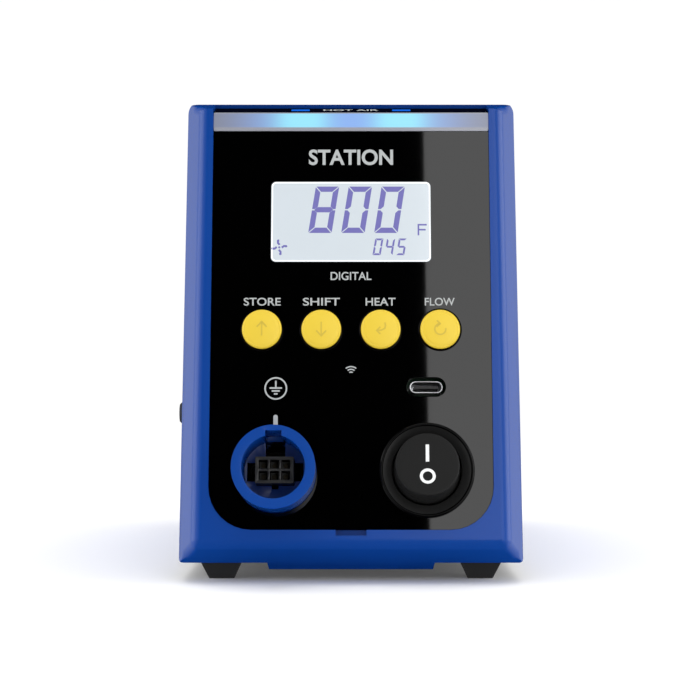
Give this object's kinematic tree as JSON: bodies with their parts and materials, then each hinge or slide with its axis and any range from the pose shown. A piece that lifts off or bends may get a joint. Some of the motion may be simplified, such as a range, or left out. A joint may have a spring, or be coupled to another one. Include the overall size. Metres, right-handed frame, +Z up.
{
  "type": "hot air station",
  "caption": "Bench hot air station: leaning front with display, round keys, hose socket and round rocker, blower and electronics inside, mains inlet at the back.",
  "frame": {"origin": "middle of the footprint's bounding box, on the surface the feet stand on", "axes": "+X to the right seen from the front, -Y out of the front, +Z up"},
  "size_m": [0.0955, 0.1888, 0.1327],
  "materials": {
    "blue_plastic": "satin moulded blue plastic",
    "gloss_black": "high gloss black panel",
    "diffuser": "translucent silver light diffuser, lit blue at two places",
    "satin_black": "satin black moulded plastic",
    "blue_lens": "clear blue lens",
    "black_plastic": "fine textured black plastic",
    "foot_rubber": "matt black rubber",
    "screw_steel": "zinc plated steel",
    "display_clear": "pale lit liquid crystal display behind a clear window",
    "white_plastic": "white moulded plastic",
    "circuit_board": "green solder mask",
    "yellow_key": "soft yellow key plastic",
    "bright_steel": "bright drawn steel",
    "brass_contact": "tinned brass contacts",
    "duct_rubber": "dark grey soft rubber",
    "motor_steel": "plated sheet steel",
    "coil_copper": "varnished winding under tape",
    "aluminium_fins": "extruded aluminium",
    "cable_sheath": "grey flat cable",
    "filter_foam": "open cell foam",
    "fuse_glass": "clear glass fuse tube",
    "label_metal": "blank silver plate"
  },
  "bodies": {
    "station": {"front_frame": "blue_plastic", "front_panel": "gloss_black", "light_bar": "diffuser", "top_label": "satin_black", "light_windows": "blue_lens", "cover": "blue_plastic", "tray": "black_plastic", "back_panel": "black_plastic", "feet": "foot_rubber", "foot_screws": "screw_steel", "back_screws": "screw_steel", "holder_screws": "screw_steel", "display_window": "display_clear", "display_frame": "white_plastic", "display_glass": "display_clear", "display_backlight": "white_plastic", "display_board": "circuit_board", "display_screws": "screw_steel", "key_switches": "black_plastic", "status_lights": "blue_lens", "remote_eye": "satin_black", "usb_shell": "bright_steel", "usb_tongue": "black_plastic", "hose_socket": "blue_plastic", "socket_plug": "black_plastic", "socket_pins": "brass_contact", "rocker_housing": "satin_black", "rocker_tabs": "brass_contact", "air_duct": "duct_rubber", "duct_clips": "bright_steel", "blower_housing": "black_plastic", "blower_cover": "black_plastic", "blower_dampers": "duct_rubber", "motor": "motor_steel", "main_board": "circuit_board", "board_screws": "screw_steel", "transformer_core": "motor_steel", "transformer_coil": "coil_copper", "capacitors": "black_plastic", "heat_sink": "aluminium_fins", "triac": "black_plastic", "relay": "blue_plastic", "board_sockets": "white_plastic", "ribbon_cable": "cable_sheath", "air_filter": "filter_foam", "inlet_body": "black_plastic", "inlet_pins": "bright_steel", "inlet_screws": "screw_steel", "rating_plate": "label_metal"},
    "key_1": {"key_1": "yellow_key"},
    "key_2": {"key_2": "yellow_key"},
    "key_3": {"key_3": "yellow_key"},
    "key_4": {"key_4": "yellow_key"},
    "rocker": {"rocker_button": "satin_black"},
    "rotor": {"impeller": "white_plastic", "motor_shaft": "bright_steel"},
    "drawer": {"fuse_drawer": "black_plastic", "fuse": "fuse_glass"}
  },
  "joints": [
    {"name": "key_1_press", "type": "slide", "parent": "station", "child": "key_1", "axis": [0, 0.9848, -0.1736], "range_m": [0, 0.0008], "stiffness_N_per_m": 300},
    {"name": "key_2_press", "type": "slide", "parent": "station", "child": "key_2", "axis": [0, 0.9848, -0.1736], "range_m": [0, 0.0008], "stiffness_N_per_m": 300},
    {"name": "key_3_press", "type": "slide", "parent": "station", "child": "key_3", "axis": [0, 0.9848, -0.1736], "range_m": [0, 0.0008], "stiffness_N_per_m": 300},
    {"name": "key_4_press", "type": "slide", "parent": "station", "child": "key_4", "axis": [0, 0.9848, -0.1736], "range_m": [0, 0.0008], "stiffness_N_per_m": 300},
    {"name": "rocker_tilt", "type": "hinge", "parent": "station", "child": "rocker", "pos_m": [0.0204, -0.07713, 0.03012], "axis": [1, 0, 0], "range_deg": [0, 18]},
    {"name": "rotor_spin", "type": "hinge", "parent": "station", "child": "rotor", "pos_m": [-0.02, 0.01843, 0.04812], "axis": [1, 0, 0], "continuous": true},
    {"name": "drawer_slide", "type": "slide", "parent": "station", "child": "drawer", "axis": [0, 1, 0], "range_m": [0, 0.018]}
  ]
}
